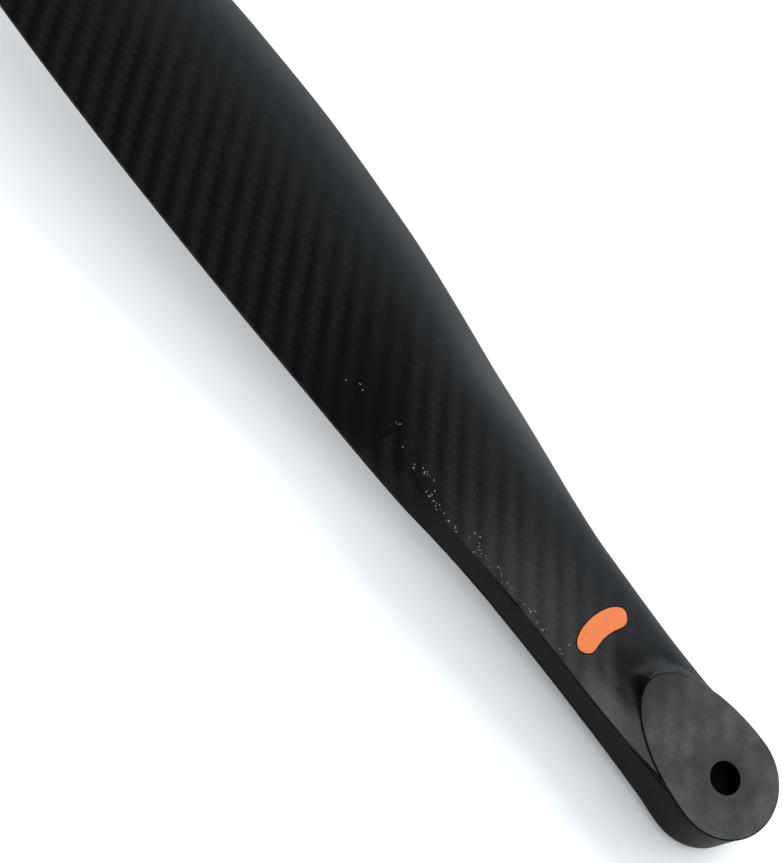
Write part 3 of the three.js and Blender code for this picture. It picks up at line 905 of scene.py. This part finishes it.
def root_material():
    """Solid laminate: moulded matt wall, sanded grey flats where plies of the twill just show."""
    nodes = Nodes("root_laminate")
    place = nodes.position_mm()
    px, py, _ = nodes.split(place)
    stripes = twill(nodes, place)[1]
    geometry = nodes.add("ShaderNodeNewGeometry")
    facing_up = nodes.math("ABSOLUTE", nodes.split(geometry.outputs["Normal"])[2])
    flat = nodes.product(nodes.ramp(facing_up, 0.8, 0.99), nodes.ramp(px, *SEAT_FLAT_X))
    cloud = nodes.ramp(nodes.noise(place, scale=0.16, detail=4.0, roughness=0.6), 0.3, 0.7)
    sanded = nodes.blend(cloud, SEAT_DARK, SEAT_LIGHT)
    ply = nodes.product(nodes.ramp(px, *SEAT_PLY_X), PLY_SHARE, stripes)
    sanded = nodes.blend(ply, sanded, SEAT_DARK)
    fine = nodes.noise(place, scale=2.2, detail=4.0, roughness=0.7)
    sanded = nodes.blend(nodes.product(nodes.ramp(fine, 0.55, 0.8), DUST_SHARE), sanded, SEAT_LIGHT)
    end = nodes.product(nodes.ramp(px, *SEAT_DARK_X), SEAT_DARK_SHARE)
    sanded = nodes.blend(end, sanded, SEAT_END)
    # The shells share this material along their wall.
    cloth_stripes = twill(nodes, nodes.add("ShaderNodeUVMap", uv_map="cloth").outputs["UV"])[1]
    cloth = nodes.blend(cloth_stripes, CARBON_CROSSWISE, CARBON_LENGTHWISE)
    wall = nodes.blend(nodes.ramp(px, *CLOTH_X), WALL, cloth)
    colour = nodes.blend(flat, wall, sanded)
    squares = [nodes.math("POWER", axis, 2.0) for axis in (px, py)]
    from_axis = nodes.math("SQRT", nodes.math("ADD", *squares))
    worn = nodes.product(nodes.ramp(from_axis, *CLAMP_WEAR), CLAMP_WEAR_SHARE, flat)
    colour = nodes.blend(worn, colour, SEAT_END)
    # Painted shade: the bore and the inside of its broken edge are painted near-black.
    bore = nodes.math("LESS_THAN", from_axis, BORE_RADIUS + BORE_SHADE_MARGIN)
    colour = nodes.blend(bore, colour, BORE_SHADE)
    normal = nodes.bump(fine, distance=0.03, strength=0.35)
    nodes.put(nodes.shader.inputs["Normal"], normal)
    return nodes.finish(colour, nodes.between(flat, 0.46, 0.6), Specular_IOR_Level=0.06)


PAINT_DARK = (0.62, 0.157, 0.041, 1)
PAINT_LIGHT = (0.665, 0.17, 0.049, 1)
LINE_COLOURS = (0.001, 0.001, 0.001, 1), (0.004, 0.004, 0.004, 1)
CHIP_COLOURS = (0.04, 0.04, 0.04, 1), (0.3, 0.3, 0.3, 1)
SPAR_COLOURS = (0.008, 0.008, 0.009, 1), (0.02, 0.02, 0.022, 1)
ROVING_COLOURS = (0.02, 0.02, 0.02, 1), (0.04, 0.04, 0.04, 1)
FOAM_COLOURS = (0.6, 0.57, 0.48, 1), (0.78, 0.75, 0.66, 1)
FIBRE_SCALE, FIBRE_STRETCH = 2.5, (0.04, 1.0, 1.0)
FOAM_SCALE, FOAM_STRETCH = 1.8, (1.0, 1.0, 1.0)


def paint_material():
    nodes = Nodes("mark_paint")
    place = nodes.position_mm()
    grain = nodes.noise(place, scale=1.6, detail=3.0, roughness=0.6)
    colour = nodes.blend(nodes.ramp(grain, 0.3, 0.7), PAINT_DARK, PAINT_LIGHT)
    normal = nodes.bump(grain, distance=0.02, strength=0.3)
    nodes.put(nodes.shader.inputs["Normal"], normal)
    return nodes.finish(colour, nodes.between(grain, 0.5, 0.6), Specular_IOR_Level=0.2)


def line_material():
    # painted shade lines, and the mark's dark outline
    nodes = Nodes("dark_lines")
    grain = nodes.noise(nodes.position_mm(), scale=2.0)
    colour = nodes.blend(grain, *LINE_COLOURS)
    return nodes.finish(colour, nodes.between(grain, 0.8, 0.9), Specular_IOR_Level=0.08)


def resin_material():
    nodes = Nodes("clear_resin_chips")
    grain = nodes.noise(nodes.position_mm(), scale=3.0)
    colour = nodes.blend(nodes.ramp(grain, 0.35, 0.65), *CHIP_COLOURS)
    return nodes.finish(colour, nodes.between(grain, 0.35, 0.55), Specular_IOR_Level=0.3)


def hidden_material(name, low, high, scale, stretch):
    """Foam cells or spar fibres for the pieces inside the skins."""
    nodes = Nodes(name)
    place = nodes.add("ShaderNodeVectorMath", operation="MULTIPLY")
    nodes.put(place.inputs[0], nodes.position_mm())
    place.inputs[1].default_value = stretch
    grain = nodes.noise(place.outputs["Vector"], scale, detail=4.0, roughness=0.6)
    colour = nodes.blend(nodes.ramp(grain, 0.3, 0.7), low, high)
    nodes.put(nodes.shader.inputs["Normal"], nodes.bump(grain, distance=0.05, strength=0.4))
    return nodes.finish(colour, nodes.between(grain, 0.6, 0.8))


# ---------- pieces ----------

WALL_END = 112              # x up to which the shells' wall has the root's finish
WALL_MARGIN = 0.01
SHELLS = (("upper_shell", 1, "upper_skin"), ("lower_shell", -1, "lower_skin"))


def finish_wall(shell, material):
    """Gives the shell's part of the side wall the same finish as the root's."""
    shell.data.materials.append(material)
    past = shell.data.attributes["past_slope"].data
    for polygon in shell.data.polygons:
        on_wall = all(past[i].value < WALL_MARGIN for i in polygon.vertices)
        if on_wall and polygon.center.x < WALL_END * MM:
            polygon.material_index = 1


def place_piece(piece, material, slot, *nodes_replaced):
    piece.data.materials.append(material)
    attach(piece, "root")
    if nodes_replaced:
        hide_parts(*nodes_replaced)


skin_finish = carbon_skin_material()
root_finish = root_material()
for shell_name, side, skin in SHELLS:
    shell = skin_piece(shell_name, side)
    place_piece(shell, skin_finish, "carbon_skin", skin)
    finish_wall(shell, root_finish)
root_piece = join_pieces("root_with_eye", eye_piece(), neck_core_piece())
place_piece(root_piece, root_finish, "root_laminate", "root_block")
place_piece(mark_piece(), paint_material(), "mark_paint", "colour_mark")
place_piece(edge_line_pieces(), line_material(), "carbon_skin")
place_piece(speck_pieces(), resin_material(), "carbon_skin")

spar_finish = hidden_material("spar_fibre", *SPAR_COLOURS, FIBRE_SCALE, FIBRE_STRETCH)
filler_finish = hidden_material("roving", *ROVING_COLOURS, FIBRE_SCALE, FIBRE_STRETCH)
foam_finish = hidden_material("foam_cells", *FOAM_COLOURS, FOAM_SCALE, FOAM_STRETCH)
HIDDEN = {
    "upper_spar_cap": spar_finish,
    "lower_spar_cap": spar_finish,
    "leading_edge_filler": filler_finish,
    "tip_block": filler_finish,
    "foam_core": foam_finish,
}
for node_name, finish in HIDDEN.items():
    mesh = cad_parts[node_name].data
    mesh.materials.clear()
    mesh.materials.append(finish)


# ---------- floor, light and camera ----------

FLOOR_HALF = 3.0
FLOOR_DROP = 0.003
FLOOR_FALL = 0.08           # the floor falls away towards the tip, so that the shadow widens that way
FLOOR_COLOUR = (0.95, 0.97, 0.99, 1)


def floor_piece():
    z = cad_box[0][2] - FLOOR_DROP
    fall = FLOOR_HALF * FLOOR_FALL
    mesh = bpy.data.meshes.new("floor")
    square = ((-1, -1), (1, -1), (1, 1), (-1, 1))
    corners = [(x * FLOOR_HALF, y * FLOOR_HALF, z - x * fall) for x, y in square]
    mesh.from_pydata(corners, [], [(0, 1, 2, 3)])
    floor = bpy.data.objects.new("floor", mesh)
    bpy.context.scene.collection.objects.link(floor)
    nodes = Nodes("pale_floor")
    mesh.materials.append(nodes.finish(FLOOR_COLOUR, 0.9, Specular_IOR_Level=0.0))


def softbox(name, at, aim, width, height, watts, colour, in_gloss=True):
    light = bpy.data.lights.new(name, "AREA")
    light.shape = "RECTANGLE"
    light.size = width
    light.size_y = height
    light.energy = watts
    light.color = colour
    lamp = bpy.data.objects.new(name, light)
    bpy.context.scene.collection.objects.link(lamp)
    lamp.location = at
    lamp.rotation_euler = (Vector(aim) - Vector(at)).to_track_quat("-Z", "Y").to_euler()
    lamp.visible_glossy = in_gloss
    lamp.visible_camera = False
    return lamp


BLADE_MIDDLE = (0.12, 0.0, 0.005)
# Each softbox: place, aim, width, height, watts and colour.
KEY = (0.1, -1.5, 0.85), BLADE_MIDDLE, 3.0, 1.5, 40, (1.0, 0.995, 0.99)
FILL = (0.1, 0.0, 1.4), BLADE_MIDDLE, 3.8, 3.8, 12, (0.99, 0.995, 1.0)
GLOSS = (0.12, -1.1, 0.6), BLADE_MIDDLE, 2.0, 1.0, 22, (0.92, 1.0, 1.05)
SKY = 0.84
SKY_COLOUR = (0.94, 0.98, 1.0, 1)


def light_the_scene():
    """Key and fill give soft light only, and the gloss box is the only light that the blade reflects."""
    softbox("leading_key", *KEY, in_gloss=False)
    softbox("overhead_fill", *FILL, in_gloss=False)
    gloss = softbox("leading_side_gloss", *GLOSS)
    gloss.visible_diffuse = False
    world = bpy.data.worlds.new("studio")
    world.use_nodes = True
    world.cycles_visibility.glossy = False
    background = world.node_tree.nodes["Background"]
    background.inputs["Color"].default_value = SKY_COLOUR
    background.inputs["Strength"].default_value = SKY
    bpy.context.scene.world = world
    bpy.context.scene.view_settings.view_transform = "Standard"


CAMERA_AT = Vector((0.0966, 0.2599, 0.4650))
CAMERA_AIM = Vector((0.1123, 0.0125, 0.0070))
CAMERA_UP = Vector((0.802, -0.514, 0.305))
CAMERA_LENS = 91.77
CAMERA_SENSOR = 36


def place_camera():
    camera = bpy.data.cameras.new("camera")
    camera.lens = CAMERA_LENS
    camera.sensor_width = CAMERA_SENSOR
    eye = bpy.data.objects.new("camera", camera)
    bpy.context.scene.collection.objects.link(eye)
    back = (CAMERA_AT - CAMERA_AIM).normalized()
    right = CAMERA_UP.cross(back).normalized()
    up = back.cross(right)
    turn = Matrix((right, up, back)).transposed().to_4x4()
    eye.matrix_world = Matrix.Translation(CAMERA_AT) @ turn
    bpy.context.scene.camera = eye


floor_piece()
light_the_scene()
place_camera()

bpy.context.view_layer.update()
